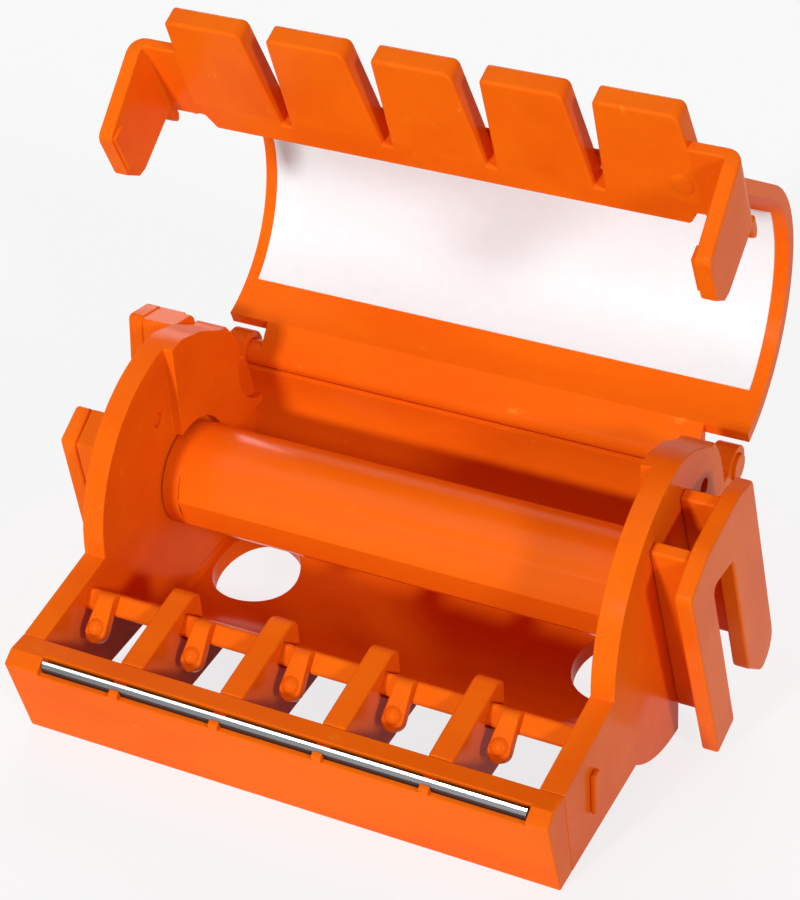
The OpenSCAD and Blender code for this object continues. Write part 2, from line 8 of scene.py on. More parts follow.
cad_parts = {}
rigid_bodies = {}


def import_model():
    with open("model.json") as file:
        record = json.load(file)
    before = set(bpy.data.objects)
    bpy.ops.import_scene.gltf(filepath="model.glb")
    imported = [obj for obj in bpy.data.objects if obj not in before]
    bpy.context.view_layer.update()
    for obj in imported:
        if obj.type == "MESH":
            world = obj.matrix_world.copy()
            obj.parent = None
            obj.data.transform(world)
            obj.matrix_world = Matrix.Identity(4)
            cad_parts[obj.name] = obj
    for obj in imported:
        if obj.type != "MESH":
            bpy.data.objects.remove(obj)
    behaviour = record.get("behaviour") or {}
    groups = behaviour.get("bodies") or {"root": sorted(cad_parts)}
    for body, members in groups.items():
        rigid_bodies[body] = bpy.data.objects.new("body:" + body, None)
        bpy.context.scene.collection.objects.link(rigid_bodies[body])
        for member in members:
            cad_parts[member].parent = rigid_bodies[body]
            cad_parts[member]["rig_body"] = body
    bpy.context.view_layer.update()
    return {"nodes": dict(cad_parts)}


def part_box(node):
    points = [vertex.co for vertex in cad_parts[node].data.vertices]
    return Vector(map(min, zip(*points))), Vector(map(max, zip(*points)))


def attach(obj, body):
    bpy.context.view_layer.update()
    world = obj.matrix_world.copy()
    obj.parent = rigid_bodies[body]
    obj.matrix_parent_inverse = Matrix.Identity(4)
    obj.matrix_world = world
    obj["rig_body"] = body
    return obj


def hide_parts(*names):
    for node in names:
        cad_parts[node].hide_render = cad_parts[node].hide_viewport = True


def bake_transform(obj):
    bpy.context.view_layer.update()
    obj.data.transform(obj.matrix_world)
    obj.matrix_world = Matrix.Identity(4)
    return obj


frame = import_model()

# Roll bed: the round trough that the tape rolls lie in, with its ramp and its two push-out holes.
# It is injection moulded in glossy orange plastic, in one shot with the rest of the base.
# Its edges are slightly rounded by the mould, and its walls show faint flow and sink marks.
ORANGE = (0.88, 0.145, 0.0040, 1)
ORANGE_DEEP = (0.83, 0.118, 0.0035, 1)
ORANGE_SCUFF = (0.90, 0.210, 0.015, 1)
MOULD_EDGE = 0.00025
EDGE_ANGLE = 0.6


def plastic(name, grain=(1, 1, 1), gloss=0.21, shine=0.03):
    """Orange moulded plastic: flow marks stretched by grain, pale scuffs, patchy gloss and a fine skin."""
    mat = bpy.data.materials.new(name)
    mat.use_nodes = True
    nodes, links = mat.node_tree.nodes, mat.node_tree.links
    shader = nodes["Principled BSDF"]
    shader.inputs["IOR"].default_value = 1.5
    shader.inputs["Specular IOR Level"].default_value = shine
    where = nodes.new("ShaderNodeTexCoord")
    stretch = nodes.new("ShaderNodeMapping")
    stretch.inputs["Scale"].default_value = grain
    links.new(where.outputs["Object"], stretch.inputs["Vector"])

    def noise(scale, detail, roughness=0.5):
        tex = nodes.new("ShaderNodeTexNoise")
        tex.inputs["Scale"].default_value = scale
        tex.inputs["Detail"].default_value = detail
        tex.inputs["Roughness"].default_value = roughness
        links.new(stretch.outputs["Vector"], tex.inputs["Vector"])
        return tex.outputs["Fac"]

    def ramp(value, low, high, low_colour, high_colour):
        band = nodes.new("ShaderNodeValToRGB")
        band.color_ramp.elements[0].position = low
        band.color_ramp.elements[0].color = low_colour
        band.color_ramp.elements[1].position = high
        band.color_ramp.elements[1].color = high_colour
        links.new(value, band.inputs["Fac"])
        return band.outputs["Color"]

    # Flow marks darken the colour in soft bands, and pale scuffs lie over them
    flow = ramp(noise(150, 3), 0.32, 0.62, ORANGE_DEEP, ORANGE)
    scuff = ramp(noise(900, 6, 0.72), 0.63, 0.72, (0, 0, 0, 1), (1, 1, 1, 1))
    tint = nodes.new("ShaderNodeMix")
    tint.data_type = "RGBA"
    tint.inputs["B"].default_value = ORANGE_SCUFF
    links.new(scuff, tint.inputs["Factor"])
    links.new(flow, tint.inputs["A"])
    links.new(tint.outputs["Result"], shader.inputs["Base Color"])
    # Handling leaves the gloss patchy
    patch = nodes.new("ShaderNodeMapRange")
    patch.inputs["To Min"].default_value = gloss - 0.07
    patch.inputs["To Max"].default_value = gloss + 0.12
    links.new(noise(700, 5, 0.65), patch.inputs["Value"])
    links.new(patch.outputs["Result"], shader.inputs["Roughness"])
    # Broad sink marks, and the fine skin of the mould on top
    sink = nodes.new("ShaderNodeBump")
    sink.inputs["Strength"].default_value = 0.22
    sink.inputs["Distance"].default_value = 0.0002
    links.new(noise(260, 2), sink.inputs["Height"])
    skin = nodes.new("ShaderNodeBump")
    skin.inputs["Strength"].default_value = 0.12
    skin.inputs["Distance"].default_value = 0.00004
    links.new(noise(2600, 4, 0.6), skin.inputs["Height"])
    links.new(sink.outputs["Normal"], skin.inputs["Normal"])
    links.new(skin.outputs["Normal"], shader.inputs["Normal"])
    return mat


def cad_copy(node):
    """The mesh of a CAD node with its seams welded and its flat faces joined."""
    bm = bmesh.new()
    bm.from_mesh(frame["nodes"][node].data)
    bmesh.ops.remove_doubles(bm, verts=bm.verts, dist=2e-6)
    bmesh.ops.dissolve_limit(bm, angle_limit=0.01, verts=bm.verts, edges=bm.edges)
    bmesh.ops.recalc_face_normals(bm, faces=bm.faces)
    return bm


def piece(name, bm, mats, edge=MOULD_EDGE, sharp=0.5, weighted=False):
    """An object from a finished mesh, with its edges rounded by edge."""
    mesh = bpy.data.meshes.new(name)
    bm.to_mesh(mesh)
    bm.free()
    mesh.shade_smooth()
    mesh.set_sharp_from_angle(angle=sharp)
    for mat in mats:
        mesh.materials.append(mat)
    made = bpy.data.objects.new(name, mesh)
    bpy.context.scene.collection.objects.link(made)
    if edge:
        bevel = made.modifiers.new("edge", "BEVEL")
        bevel.width = edge
        bevel.segments = 3
        bevel.limit_method = "ANGLE"
        bevel.angle_limit = EDGE_ANGLE
        bevel.harden_normals = True
    if weighted:
        made.modifiers.new("normals", "WEIGHTED_NORMAL").keep_sharp = True
    return made


def moulded(node, mat, edge=MOULD_EDGE):
    """A CAD node's copy with rounded edges, which stands for the node."""
    skin = piece(node + "_skin", cad_copy(node), [mat], edge)
    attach(skin, frame["nodes"][node]["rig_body"])
    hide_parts(node)
    return skin


# The bed's outline is taken from its right end and drawn through to its left end
bed_plastic = plastic("bed_plastic", grain=(0.5, 1, 1))
outline = cad_copy("roll_bed")
bed_right = max(v.co.x for v in outline.verts)
end_face = max((f for f in outline.faces if f.normal.x > 0.99), key=lambda f: f.calc_area())
profile = [v.co.copy() for v in end_face.verts]
outline.free()
bed = bmesh.new()
right_end = [bed.verts.new((bed_right, p.y, p.z)) for p in profile]
left_end = [bed.verts.new((-bed_right, p.y, p.z)) for p in profile]
bed.faces.new(right_end)
bed.faces.new(left_end[::-1])
for k in range(len(profile)):
    bed.faces.new((right_end[k - 1], left_end[k - 1], left_end[k], right_end[k]))
bmesh.ops.recalc_face_normals(bed, faces=bed.faces)
bed_skin = piece("roll_bed_skin", bed, [bed_plastic], edge=0)
# Each push-out hole is bored through the floor, straight away from the spindle
HOLE_X = 0.0192
HOLE_R = 0.0044
BORE_L = 0.008
FLOOR_MID_R = 0.014
SPINDLE = Vector((0, 0.0031821, 0.015))
hole_way = Vector((0, 0.3404, -0.9403))
bores = []
for side in (-1, 1):
    bore = bmesh.new()
    hole_mid = SPINDLE + Vector((side * HOLE_X, 0, 0)) + FLOOR_MID_R * hole_way
    aim = hole_way.to_track_quat("Z", "X").to_matrix().to_4x4()
    bmesh.ops.create_cone(bore, cap_ends=True, segments=64, radius1=HOLE_R, radius2=HOLE_R, depth=BORE_L,
                          matrix=Matrix.Translation(hole_mid) @ aim)
    bores.append(piece("bore", bore, [], edge=0))
    cut = bed_skin.modifiers.new("bore", "BOOLEAN")
    cut.operation = "DIFFERENCE"
    cut.object = bores[-1]
bpy.context.view_layer.update()
bored = bmesh.new()
bored.from_mesh(bed_skin.evaluated_get(bpy.context.evaluated_depsgraph_get()).to_mesh())
for made in bores + [bed_skin]:
    bpy.data.objects.remove(made)
# Its ends run into the plates, so only the other edges are rounded
weight = bored.edges.layers.float.new("bevel_weight_edge")
for edge in bored.edges:
    at_end = any(abs(v.co.x) > bed_right - 0.00001 for v in edge.verts)
    edge[weight] = 0 if at_end or len(edge.link_faces) < 2 or edge.calc_face_angle() < EDGE_ANGLE else 1
# A low web at each end shuts the slit between the floor and the heel of the plate
HEEL_FRONT = (0.00479, 0.00341)
HEEL_REAR = (0.01059, 0.00432)
WEB_R = 0.0132
WEB_T = 0.0008
WEB_FROM = 0.607
WEB_SWEEP = 0.467
web = [HEEL_FRONT, HEEL_REAR]
for k in range(9):
    turned = WEB_FROM - WEB_SWEEP * k / 8
    web.append((SPINDLE.y + WEB_R * sin(turned), SPINDLE.z - WEB_R * cos(turned)))
for side in (-1, 1):
    inner = [bored.verts.new((side * bed_right, y, z)) for y, z in web]
    outer = [bored.verts.new((side * (bed_right + WEB_T), y, z)) for y, z in web]
    faces = [bored.faces.new(inner), bored.faces.new(outer[::-1])]
    faces += [bored.faces.new((inner[k - 1], outer[k - 1], outer[k], inner[k])) for k in range(len(web))]
    bmesh.ops.recalc_face_normals(bored, faces=faces)
bed_skin = piece("roll_bed_skin", bored, [bed_plastic])
bed_skin.modifiers["edge"].limit_method = "WEIGHT"
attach(bed_skin, "base")
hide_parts("roll_bed")

# End plates: round cheeks with a front arm, a hinge ear and a blind socket for the spindle.
# They are part of the base's moulding, with a thicker pad behind the spindle.
plate_plastic = plastic("plate_plastic", gloss=0.19)
for plate in ("left_end_plate", "right_end_plate"):
    moulded(plate, plate_plastic, edge=0.0003)

# Cutter bar: the lip along the front, with a groove for the blade and small pips that back it.
# It is part of the base's moulding and joins the two end plates.
bar_plastic = plastic("bar_plastic", grain=(0.35, 1, 1))
moulded("cutter_bar", bar_plastic)


def loft(bm, rings, close=(True, True)):
    """Faces from ring to ring, with a lid on each end that is closed."""
    rows = [[bm.verts.new(p) for p in ring] for ring in rings]
    for a, b in zip(rows, rows[1:]):
        for k in range(len(a)):
            bm.faces.new((a[k - 1], a[k], b[k], b[k - 1]))
    if close[0]:
        bm.faces.new(rows[0][::-1])
    if close[1]:
        bm.faces.new(rows[-1])
    bmesh.ops.recalc_face_normals(bm, faces=bm.faces)


def rounded_ring(left, right, front, back, radii, place, steps=4):
    """A four-sided ring with round corners. Radii go front left, front right, back right, back left."""
    corners = ((left, front, 1, 1), (right, front, -1, 1), (right, back, -1, -1), (left, back, 1, -1))
    points = []
    for k, ((u, v, du, dv), r) in enumerate(zip(corners, radii)):
        for step in range(steps + 1):
            turned = pi + (k + step / steps) * pi / 2
            points.append(place(u + du * r + r * cos(turned), v + dv * r + r * sin(turned)))
    return points


# A small tab at each divider comes up in front of the blade and keeps it in the groove
CELL_PITCH = 10
TAB_HALF = 0.45
TAB_GAP = 0.02
TAB_RADII = (0.05, 0.05, 0.11, 0.11)
BEVEL_FOOT = Vector((0, -0.024525, 0.008828))
front_up = Vector((0, -0.385, 0.923))
front_out = Vector((0, -0.923, -0.385))


def before_blade(x, out, rise):
    """A point in front of the blade: out from its face and rise over the foot of its bevel, in mm."""
    return BEVEL_FOOT + 0.001 * (Vector((x, 0, 0)) + out * front_out + rise * front_up)


for i in range(1, 5):
    rings = []
    for rise, out in ((-1.4, 0.59), (-1.1, 0.63), (-0.2, 0.63), (-0.05, 0.58), (0.06, 0.46), (0.12, 0.28)):
        rings.append(rounded_ring(-TAB_HALF, TAB_HALF, TAB_GAP, out, TAB_RADII,
                                  lambda u, v: before_blade((i - 2.5) * CELL_PITCH + u, v, rise)))
    tab = bmesh.new()
    loft(tab, rings)
    tab_skin = piece(f"blade_tab_{i}", tab, [bar_plastic], edge=0, sharp=0.9, weighted=True)
    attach(tab_skin, "base")

# Cutter blade: a strip of steel pressed into the groove of the bar, with the tape torn on its edge.
# Its sides are rolled, dull steel, coloured darker than steel as painted shade, and its edge is ground to a
# bevel that faces the front, whose top strip is coloured bright as a painted highlight.


def steel(name, dark, bright, rough, fine):
    """Steel with fine lines along the strip, left by the rolls or by the wheel."""
    mat = bpy.data.materials.new(name)
    mat.use_nodes = True
    nodes, links = mat.node_tree.nodes, mat.node_tree.links
    shader = nodes["Principled BSDF"]
    shader.inputs["Metallic"].default_value = 1
    where = nodes.new("ShaderNodeTexCoord")
    stretch = nodes.new("ShaderNodeMapping")
    stretch.inputs["Scale"].default_value = fine
    links.new(where.outputs["Object"], stretch.inputs["Vector"])
    lines = nodes.new("ShaderNodeTexNoise")
    lines.inputs["Scale"].default_value = 1
    lines.inputs["Detail"].default_value = 4
    links.new(stretch.outputs["Vector"], lines.inputs["Vector"])
    tone = nodes.new("ShaderNodeValToRGB")
    tone.color_ramp.elements[0].color = dark
    tone.color_ramp.elements[1].color = bright
    links.new(lines.outputs["Fac"], tone.inputs["Fac"])
    links.new(tone.outputs["Color"], shader.inputs["Base Color"])
    polish = nodes.new("ShaderNodeMapRange")
    polish.inputs["To Min"].default_value = rough - 0.08
    polish.inputs["To Max"].default_value = rough + 0.10
    links.new(lines.outputs["Fac"], polish.inputs["Value"])
    links.new(polish.outputs["Result"], shader.inputs["Roughness"])
    return mat


# The dark steel is painted shade on the sides and the lower bevel, and the bright steel is a painted highlight
# on the top of the bevel; the fine lines in both are real
blade_steel = steel("blade_steel", (0.07, 0.072, 0.075, 1), (0.13, 0.132, 0.136, 1), 0.50, (40, 3000, 3000))
ground_steel_painted_highlight = steel("ground_steel_painted_highlight", (0.86, 0.87, 0.88, 1), (0.95, 0.95, 0.96, 1), 0.24, (3000, 60, 60))
# Only the top strip of the bevel gets the bright steel, a painted highlight, and the rest of the face gets the
# dark steel, painted shade, so the face is split there
PAINTED_HIGHLIGHT_H = 0.00022
blade = cad_copy("cutter_blade")
bevel_face = max((f for f in blade.faces if f.normal.y < -0.2 and f.normal.z > 0.2), key=lambda f: f.calc_area())
edge_line = max(v.co.z for v in bevel_face.verts) - PAINTED_HIGHLIGHT_H
bmesh.ops.bisect_plane(blade, geom=blade.verts[:] + blade.edges[:] + blade.faces[:], dist=1e-7,
                       plane_co=(0, 0, edge_line), plane_no=(0, 0, 1))
for face in blade.faces:
    highlit_strip = face.normal.y < -0.2 and face.normal.z > 0.2 and face.calc_center_median().z > edge_line
    face.material_index = 1 if highlit_strip else 0
blade_skin = piece("cutter_blade_skin", blade, [blade_steel, ground_steel_painted_highlight], edge=0.00003)
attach(blade_skin, "base")
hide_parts("cutter_blade")

# Dividers: thin walls between the bar and the ramp, which part the tape cells.
# They are part of the base's moulding and end in a round nose on the ramp.
for i in range(1, 5):
    moulded(f"divider_{i}", bar_plastic)

# Tape tongues: one small leaf with a nub in each cell, which lifts the end of the tape.
# They are moulded with the ramp: each grows out of the crest and bends at its root.
TONGUE_W = 0.0021
TONGUE_L = 0.0039
TONGUE_T = 0.0011
TONGUE_TAPER = 0.0004
TONGUE_EDGE = 0.0002
ROOT_R = 0.0009
NUB_R = 0.0007
NUB_H = 0.00052
NUB_AT = 0.63
CREST = Vector((0, -0.0142641, 0.0113558))
ramp_up = Vector((0, -0.8187698, 0.5741219))
ramp_out = Vector((0, -0.5741219, -0.8187698))
leaf_way = Vector((0, -0.5164752, -0.8563021))
leaf_face = Vector((0, -0.8563021, 0.5164752))
tongue_plastic = plastic("tongue_plastic", gloss=0.20)
root_mid = CREST + ROOT_R * ramp_out
for i in range(1, 6):
    tongue_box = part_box(f"tape_tongue_{i}")
    middle = (tongue_box[0].x + tongue_box[1].x) / 2
    rows = []
    # From the ramp, over the crest and down to the start of the leaf
    for turned in (-0.45, -0.2, 0, 0.3, 0.6, 0.9, 1.2, 1.45, 1.64):
        if turned < 0:
            top, under = CREST + turned * 0.001 * ramp_up + 0.00003 * ramp_out, root_mid + 0.0004 * ramp_out
        else:
            swing = (-ramp_out) * cos(turned) + ramp_up * sin(turned)
            top, under = root_mid + ROOT_R * swing, root_mid - 0.0002 * swing
        rows.append((top, under, TONGUE_TAPER - TONGUE_W / 2, TONGUE_W / 2))
    leaf_top = root_mid + ROOT_R * leaf_face
    straight = TONGUE_L - TONGUE_W / 2
    for along in (0.0004, 0.0010, 0.0018, 0.0026):
        left = TONGUE_TAPER * (1 - along / straight) - TONGUE_W / 2
        top = leaf_top + along * leaf_way
        rows.append((top, top - TONGUE_T * leaf_face, left, TONGUE_W / 2))
    # The round tip
    for k in range(1, 10):
        turned = k / 9 * 1.52
        top = leaf_top + (straight + TONGUE_W / 2 * sin(turned)) * leaf_way
        half = TONGUE_W / 2 * cos(turned)
        rows.append((top, top - TONGUE_T * leaf_face, -half, half))
    rings = []
    for top, under, left, right in rows:
        depth = (top - under).length
        inward = (under - top).normalized()
        r = min(TONGUE_EDGE, (right - left) * 0.45, depth * 0.45)
        rings.append(rounded_ring(left, right, 0, depth, (r, r, r, r),
                                  lambda u, v: top + inward * v + Vector((middle + u, 0, 0))))
    leaf = bmesh.new()
    loft(leaf, rings)
    # The nub is a low dome with a soft foot
    dome = []
    for k in range(9):
        turned = k / 8 * pi / 2
        out = NUB_R * cos(turned) * (1 + 0.22 * (1 - k / 8) ** 3)
        rise = NUB_H * sin(turned) - 0.00002
        spot = leaf_top + NUB_AT * TONGUE_L * leaf_way + rise * leaf_face + Vector((middle, 0, 0))
        ways = [cos(a * pi / 16) * Vector((1, 0, 0)) + sin(a * pi / 16) * leaf_way for a in range(32)]
        dome.append([spot + max(out, 0.00001) * way for way in ways])
    loft(leaf, dome, close=(False, True))
    skin = piece(f"tape_tongue_{i}_skin", leaf, [tongue_plastic], edge=0, sharp=0.9, weighted=True)
    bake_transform(skin)
    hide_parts(f"tape_tongue_{i}")

# Catches: a short rib on the outside of each plate, where a latch arm snaps in.
# They are part of the base's moulding.
for catch in ("left_catch", "right_catch"):
    moulded(catch, plate_plastic, edge=0.0002)

# Coupling fork: two prongs on the right, held off the plate by two webs.
# The next dispenser's bracket hangs between the prongs and the plate.
for part in ("coupling_fork", "fork_front_web", "fork_rear_web"):
    moulded(part, plate_plastic)

# Coupling bracket: two lugs on the left, held off the plate by two webs.
# It takes the fork of the next dispenser.
for part in ("coupling_bracket", "bracket_front_web", "bracket_rear_web"):
    moulded(part, plate_plastic)

# Roll spindle: a loose bar with two flats, on which the tape rolls turn.
# It is moulded by itself, with a journal at each end that snaps into the plates.
spindle_plastic = plastic("spindle_plastic", grain=(0.15, 1, 1), gloss=0.18, shine=0.12)
spindle_skin = moulded("roll_spindle", spindle_plastic, edge=0.0002)
# The flats are shallow, so a smaller angle than elsewhere counts as an edge
FLAT_ANGLE = 0.2
spindle_skin.data.set_sharp_from_angle(angle=FLAT_ANGLE)
spindle_skin.modifiers["edge"].angle_limit = FLAT_ANGLE

# Lid shell: the curved lid, which turns on a bead along its foot.
# It is moulded in the same plastic and snaps into the ears of the end plates.
lid_plastic = plastic("lid_plastic", grain=(0.4, 1, 1))
moulded("lid_shell", lid_plastic)

# Label: a plain white film inside the lid's shell.
# It is cut from a self-adhesive sheet and pressed on smooth.
label_film = bpy.data.materials.new("label_film")
label_film.use_nodes = True
nodes, links = label_film.node_tree.nodes, label_film.node_tree.links
shader = nodes["Principled BSDF"]
shader.inputs["Roughness"].default_value = 0.45
shader.inputs["Specular IOR Level"].default_value = 0.3
where = nodes.new("ShaderNodeTexCoord")
fibre = nodes.new("ShaderNodeTexNoise")
fibre.inputs["Scale"].default_value = 700
fibre.inputs["Detail"].default_value = 6
links.new(where.outputs["Object"], fibre.inputs["Vector"])
shade = nodes.new("ShaderNodeValToRGB")
shade.color_ramp.elements[0].color = (0.78, 0.83, 0.85, 1)
shade.color_ramp.elements[1].color = (0.83, 0.88, 0.90, 1)
links.new(fibre.outputs["Fac"], shade.inputs["Fac"])
links.new(shade.outputs["Color"], shader.inputs["Base Color"])
press = nodes.new("ShaderNodeBump")
press.inputs["Strength"].default_value = 0.08
press.inputs["Distance"].default_value = 0.00005
links.new(fibre.outputs["Fac"], press.inputs["Height"])
links.new(press.outputs["Normal"], shader.inputs["Normal"])
moulded("lid_label", label_film, edge=0)

# Finger rail: the strip along the lid's free edge, from which the press fingers grow.
# It is part of the lid's moulding, with a small heel under each end.
TIP = Vector((0, 0.0005409, 0.0602869))
down = Vector((0, 0.5240437, -0.8516914))
back = Vector((0, 0.8516914, 0.5240437))
FINGER_W = 7.4
FINGER_FLARE = 1.6
FINGER_T = 2.1
FINGER_FOOT = 11.0
SLOT_FOOT = 11.75
SLOT_HALF = 4.5
RAIL_END = 24.5
RAIL_STEP = 12.6
RAIL_FOOT = 14.2
HEEL_IN = 27.25
HEEL_OUT = 28.55
ROUND = 0.25


def on_panel(x, w, s):
    """A point of the finger panel: x along it, w from its front face back and s down from the tips, in mm."""
    return TIP + 0.001 * (Vector((x, 0, 0)) + w * back + s * down)


def finger_half(s):
    """Half of a finger's width at s under its tip."""
    return (FINGER_W + FINGER_FLARE * s / SLOT_FOOT) / 2


rail_plastic = plastic("rail_plastic")
rim = [(-RAIL_END, RAIL_STEP)]
for i in range(1, 6):
    x = (i - 3) * CELL_PITCH
    rim += [(x - SLOT_HALF, SLOT_FOOT), (x - finger_half(FINGER_FOOT), FINGER_FOOT),
            (x + finger_half(FINGER_FOOT), FINGER_FOOT), (x + SLOT_HALF, SLOT_FOOT)]
rim += [(RAIL_END, RAIL_STEP), (RAIL_END - 0.8, RAIL_STEP), (RAIL_END - 1.6, RAIL_FOOT),
        (1.6 - RAIL_END, RAIL_FOOT), (0.8 - RAIL_END, RAIL_STEP)]
rail = bmesh.new()
front_rim = [rail.verts.new(on_panel(x, 0, s)) for x, s in rim]
back_rim = [rail.verts.new(on_panel(x, FINGER_T, s)) for x, s in rim]
rail.faces.new(front_rim)
rail.faces.new(back_rim[::-1])
for k in range(len(rim)):
    if not rim[k - 1][1] == rim[k][1] == FINGER_FOOT:
        rail.faces.new((front_rim[k - 1], front_rim[k], back_rim[k], back_rim[k - 1]))
heel = ((-0.3, 12.2), (-0.3, 14.0), (0.4, 14.9), (0.9, 14.2), (0.9, 12.2))
for side in (-1, 1):
    loft(rail, [[on_panel(side * x, w, s) for w, s in heel] for x in (HEEL_IN, HEEL_OUT)])
bmesh.ops.recalc_face_normals(rail, faces=rail.faces)
# The front edge at each end runs on into the latch arm, so it stays sharp
weight = rail.edges.layers.float.new("bevel_weight_edge")
for edge in rail.edges:
    a, b = ((v.co - TIP) / 0.001 for v in edge.verts)
    at_end = all(RAIL_END - 0.1 < abs(q.x) < 25 and q.dot(down) < RAIL_STEP + 0.05 for q in (a, b))
    in_front = abs(a.dot(back)) < 0.1 and abs(b.dot(back)) < 0.1
    joined = len(edge.link_faces) == 2 and edge.calc_face_angle() > EDGE_ANGLE
    edge[weight] = 1 if joined and not (at_end and in_front) else 0
rail_skin = piece("finger_rail_skin", rail, [rail_plastic], edge=ROUND * 0.001)
rail_skin.modifiers["edge"].limit_method = "WEIGHT"
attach(rail_skin, "lid")
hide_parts("finger_rail")

# Press fingers: tapered tabs in a row above the rail, which press each tape on the blade.
# They are moulded with the lid, with rounded tips; the real ones flex at the foot of the slots, which these
# fixed pieces do not.
TIP_RIGHT_R = 0.9
TIP_LEFT_R = 0.45
TIP_FRONT_R = 0.3
TIP_REAR_R = 0.5
SHARP_R = 0.004
ARM_TOP = 4.0
finger_plastic = plastic("finger_plastic", grain=(1, 1, 0.4))


def drawn_in(s, r):
    """How far a corner of radius r at the tip draws a finger's side in, at s under the tip."""
    return r - sqrt(max(0, r * r - (r - s) ** 2)) if s < r else 0


for i in range(1, 6):
    rings = []
    heights = [FINGER_FOOT - 0.25 * k for k in range(9)] + [7, 4.6, 4.2, 3.8, 2.4, 1.2]
    heights += [TIP_RIGHT_R * (1 - sin(k / 8 * pi / 2)) for k in range(9)]
    for s in heights:
        right = finger_half(s) - drawn_in(s, TIP_RIGHT_R)
        left = finger_half(s) - drawn_in(s, TIP_LEFT_R)
        front = drawn_in(s, TIP_FRONT_R)
        rear = FINGER_T - drawn_in(s, TIP_REAR_R)
        # The front corner that meets a latch arm stays sharp
        radii = [ROUND] * 4
        if i == 1 and s > ARM_TOP:
            radii[0] = SHARP_R
        if i == 5 and s > ARM_TOP:
            radii[1] = SHARP_R
        rings.append(rounded_ring(-left, right, front, rear, radii,
                                  lambda u, v: on_panel((i - 3) * CELL_PITCH + u, v, s)))
    finger = bmesh.new()
    loft(finger, rings, close=(False, True))
    if i == 5:
        # A gate mark: the oval pad where the plastic was let into the mould
        PAD_X, PAD_S = 22.9, 8.8
        PAD_HALF_W, PAD_HALF_L, PAD_H = 1.1, 1.375, 0.27
        pad = []
        for k in range(9):
            turned = k / 8 * pi / 2
            reach = max(cos(turned), 0.01)
            pad.append([on_panel(PAD_X + PAD_HALF_W * reach * cos(a * pi / 20), 0.05 - PAD_H * sin(turned),
                                 PAD_S + PAD_HALF_L * reach * sin(a * pi / 20)) for a in range(40)])
        loft(finger, pad, close=(False, True))
    skin = piece(f"press_finger_{i}_skin", finger, [finger_plastic], edge=0, sharp=0.9, weighted=True)
    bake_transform(skin)
    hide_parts(f"press_finger_{i}")

# Latch arms: a strip at each end of the rail, bent forward into an arm with a barb inside its front corner.
# They are moulded with the lid and snap over the catches when it is shut.
ARM_IN = 27.2
ARM_OUT = 28.6
BEND_IN_R = 0.3
BEND_OUT_R = 1.4
BEND_FOOT = 12.68
WING_FOOT = 12.65
WING_T = 1.1
WING_RADII = (0.15, 0.2, 0.2, 0.1)
STRIP_RADII = (0.2, 0.25, 0.2, 0.2)
BARB = ((-6.8, 6.9), (-8.2, 7.0), (-8.2, 11.2), (-7.4, 11.0))
BARB_REACH = 0.3


def arm_top(w):
    """How far under the tips the arm's upper edge lies at w, with a round front corner."""
    top = ARM_TOP + 2.8 * (-0.7 - w) / 7.7
    if w < -7.9:
        top += 0.5 * (1 - sqrt(max(0, 1 - ((-7.9 - w) / 0.5) ** 2)))
    return top


def arm_foot(w):
    """How far under the tips the arm's lower edge lies at w."""
    if w >= -6.1:
        return 12.7 + 1.1 * (-0.7 - w) / 5.4
    if w >= -7.1:
        return 13.8 - 0.2 * (-6.1 - w)
    return 13.6 - 1.7 * (-7.1 - w) / 1.3


for side, name in ((-1, "left"), (1, "right")):
    # Inside and outside of the bent strip, as x and w, with its top and its foot
    strip = []
    for x in (25.0, 25.8, 26.4, 26.9):
        strip.append(((x, 0), (x + 0.1 * (x - 25), WING_T), ARM_TOP, WING_FOOT))
    for k in range(1, 8):
        turned = k / 7 * pi / 2
        strip.append(((ARM_IN - BEND_IN_R * (1 - sin(turned)), -BEND_IN_R * (1 - cos(turned))),
                      (ARM_OUT - BEND_OUT_R * (1 - sin(turned)), BEND_OUT_R * cos(turned) - BEND_IN_R),
                      ARM_TOP, BEND_FOOT))
    for w in (-0.7, -1.4, -2.2, -3.5, -5.0, -6.1, -6.5, -7.1, -7.6, -8.0, -8.25, -8.4):
        strip.append(((ARM_IN, w), (ARM_OUT, w), arm_top(w), arm_foot(w)))
    # The strip starts flush against the outer finger
    rings = [rounded_ring(0, WING_T, ARM_TOP, WING_FOOT, WING_RADII,
                          lambda v, s: on_panel(side * (2 * CELL_PITCH + finger_half(min(s, SLOT_FOOT))), v, s))]
    for (xi, wi), (xo, wo), top, foot in strip:
        thick = sqrt((xo - xi) ** 2 + (wo - wi) ** 2)
        rings.append(rounded_ring(0, thick, top, foot, STRIP_RADII, lambda v, s: on_panel(
            side * (xi + (xo - xi) * v / thick), wi + (wo - wi) * v / thick, s)))
    arm = bmesh.new()
    loft(arm, rings, close=(False, True))
    loft(arm, [[on_panel(side * x, w, s) for w, s in BARB] for x in (ARM_IN + 0.1, ARM_IN - BARB_REACH)])
    skin = piece(f"{name}_latch_arm_skin", arm, [rail_plastic], edge=0, sharp=0.9, weighted=True)
    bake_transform(skin)
    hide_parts(f"{name}_latch_arm")

# Floor: a plain pale sweep under the object.
# It is lifted to near white where it is seen, and keeps a faint shadow.
FLOOR_HALF = 3
WHITE_SHARE = 0.80
floor_corners = [(-FLOOR_HALF, -FLOOR_HALF, 0), (FLOOR_HALF, -FLOOR_HALF, 0),
                 (FLOOR_HALF, FLOOR_HALF, 0), (-FLOOR_HALF, FLOOR_HALF, 0)]
floor_mesh = bpy.data.meshes.new("floor")
floor_mesh.from_pydata(floor_corners, [], [(0, 1, 2, 3)])
floor = bpy.data.objects.new("floor", floor_mesh)
bpy.context.scene.collection.objects.link(floor)
pale = bpy.data.materials.new("pale_floor")
pale.use_nodes = True
nodes, links = pale.node_tree.nodes, pale.node_tree.links
shader = nodes["Principled BSDF"]
shader.inputs["Base Color"].default_value = (0.92, 0.92, 0.92, 1)
shader.inputs["Roughness"].default_value = 0.9
shader.inputs["Specular IOR Level"].default_value = 0.1


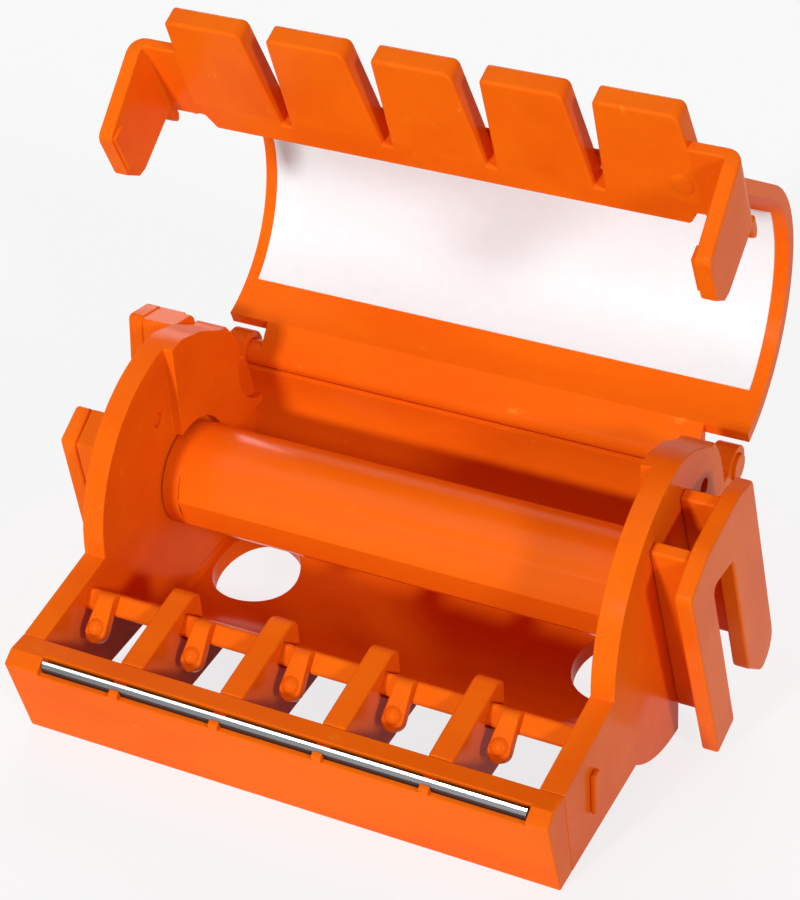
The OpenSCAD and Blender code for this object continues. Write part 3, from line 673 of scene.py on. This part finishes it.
def seen_rays(nodes, links):
    """One for the rays that see the background: the camera's, and those in reflections and through glass."""
    path = nodes.new("ShaderNodeLightPath")
    mirrored = nodes.new("ShaderNodeMath")
    mirrored.operation = "MAXIMUM"
    links.new(path.outputs["Is Glossy Ray"], mirrored.inputs[0])
    links.new(path.outputs["Is Transmission Ray"], mirrored.inputs[1])
    seen = nodes.new("ShaderNodeMath")
    seen.operation = "MAXIMUM"
    links.new(path.outputs["Is Camera Ray"], seen.inputs[0])
    links.new(mirrored.outputs["Value"], seen.inputs[1])
    return seen.outputs["Value"]


glow = nodes.new("ShaderNodeEmission")
share = nodes.new("ShaderNodeMath")
share.operation = "MULTIPLY"
share.inputs[1].default_value = WHITE_SHARE
mix = nodes.new("ShaderNodeMixShader")
links.new(seen_rays(nodes, links), share.inputs[0])
links.new(share.outputs["Value"], mix.inputs["Fac"])
links.new(shader.outputs["BSDF"], mix.inputs[1])
links.new(glow.outputs["Emission"], mix.inputs[2])
links.new(mix.outputs["Shader"], nodes["Material Output"].inputs["Surface"])
floor_mesh.materials.append(pale)

# Light: a soft lamp in front and a weaker one at the right, both low, with wide dim ones above and behind.
# A dim pale surround fills the shadows.
LAMP_REACH = 0.6
SURROUND = 0.12
for name, way, spread, power in (
    ("front_lamp", (-0.15, -0.95, 0.29), 0.10, 1.90),
    ("right_lamp", (0.757, -0.56, 0.341), 0.14, 1.2),
    ("top_lamp", (-0.20, -0.25, 0.95), 0.90, 0.50),
    ("back_lamp", (-0.35, 0.80, 0.48), 0.60, 1.20),
):
    lamp = bpy.data.lights.new(name, "SUN")
    lamp.angle = spread
    lamp.energy = power
    lamp_object = bpy.data.objects.new(name, lamp)
    lamp_object.location = LAMP_REACH * Vector(way)
    lamp_object.rotation_euler = (-Vector(way)).to_track_quat("-Z", "Y").to_euler()
    bpy.context.scene.collection.objects.link(lamp_object)
world = bpy.data.worlds.new("studio")
bpy.context.scene.world = world
world.use_nodes = True
nodes, links = world.node_tree.nodes, world.node_tree.links
surround = nodes["Background"]
surround.inputs["Strength"].default_value = SURROUND
backdrop = nodes.new("ShaderNodeBackground")
mix = nodes.new("ShaderNodeMixShader")
surround.inputs["Color"].default_value = (1, 1, 1, 1)
backdrop.inputs["Color"].default_value = (1, 1, 1, 1)
links.new(seen_rays(nodes, links), mix.inputs["Fac"])
links.new(surround.outputs["Background"], mix.inputs[1])
links.new(backdrop.outputs["Background"], mix.inputs[2])
links.new(mix.outputs["Shader"], nodes["World Output"].inputs["Surface"])

# Camera: at the photograph's viewing angle, from the front right and above.
# Its place and turn put the object where the photograph has it.
lens = bpy.data.cameras.new("camera")
lens.sensor_fit = "HORIZONTAL"
lens.sensor_width = 36
lens.lens = 116.26
camera = bpy.data.objects.new("camera", lens)
right = Vector((0.892822, 0.450175, 0.014541))
up = Vector((-0.223706, 0.415188, 0.881802))
ahead = Vector((-0.390928, 0.790545, -0.471396))
turn = Matrix((right, up, -ahead)).transposed()
camera.matrix_world = Matrix.Translation((0.0899, -0.1817, 0.1331)) @ turn.to_4x4()
bpy.context.scene.collection.objects.link(camera)
bpy.context.scene.camera = camera
bpy.context.scene.view_settings.view_transform = "Standard"
